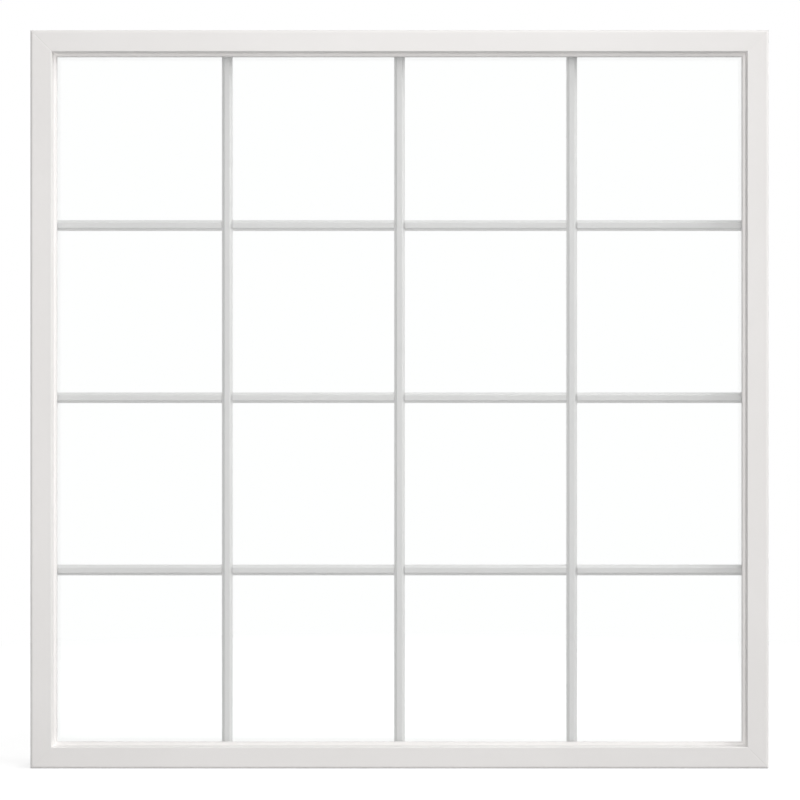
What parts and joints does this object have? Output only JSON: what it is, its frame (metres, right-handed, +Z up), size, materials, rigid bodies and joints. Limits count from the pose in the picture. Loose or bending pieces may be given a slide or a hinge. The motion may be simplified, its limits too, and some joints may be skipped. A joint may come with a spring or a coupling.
{
  "type": "picture window",
  "caption": "Square fixed window: mitred white hollow frame, sealed double glass with a contoured grille between the panes, and snap-in beads on the weather side.",
  "frame": {"origin": "middle of the sill's underside, halfway between the room face and the weather face", "axes": "+X along the width, +Y from the room side towards the weather side, +Z up"},
  "size_m": [1.2066, 0.0826, 1.2065],
  "materials": {
    "frame_vinyl": "satin white",
    "bead_vinyl": "satin white",
    "gasket": "soft pale grey",
    "glazing_tape": "foam, pale grey",
    "spacer_metal": "mill, with fine holes",
    "edge_sealant": "matt sealant",
    "clip_plastic": "moulded white",
    "grille_paint": "satin white paint",
    "glass": "clear float",
    "setting_block_rubber": "firm rubber",
    "weep_cover_plastic": "moulded white"
  },
  "bodies": {
    "root": {"bead_gasket_head": "gasket", "bead_gasket_left": "gasket", "bead_gasket_right": "gasket", "bead_gasket_sill": "gasket", "edge_seal_head": "edge_sealant", "edge_seal_left": "edge_sealant", "edge_seal_right": "edge_sealant", "edge_seal_sill": "edge_sealant", "frame_head": "frame_vinyl", "frame_jamb_left": "frame_vinyl", "frame_jamb_right": "frame_vinyl", "frame_sill": "frame_vinyl", "glazing_bead_head": "bead_vinyl", "glazing_bead_left": "bead_vinyl", "glazing_bead_right": "bead_vinyl", "glazing_bead_sill": "bead_vinyl", "glazing_tape_head": "glazing_tape", "glazing_tape_left": "glazing_tape", "glazing_tape_right": "glazing_tape", "glazing_tape_sill": "glazing_tape", "grille_bar_level_1": "grille_paint", "grille_bar_level_2": "grille_paint", "grille_bar_level_3": "grille_paint", "grille_bar_upright_1": "grille_paint", "grille_bar_upright_2": "grille_paint", "grille_bar_upright_3": "grille_paint", "grille_clips_head": "clip_plastic", "grille_clips_left": "clip_plastic", "grille_clips_right": "clip_plastic", "grille_clips_sill": "clip_plastic", "pane_room_side": "glass", "pane_weather_side": "glass", "setting_block_left": "setting_block_rubber", "setting_block_right": "setting_block_rubber", "spacer_head": "spacer_metal", "spacer_left": "spacer_metal", "spacer_right": "spacer_metal", "spacer_sill": "spacer_metal", "weep_cover_left": "weep_cover_plastic", "weep_cover_right": "weep_cover_plastic"}
  },
  "joints": []
}
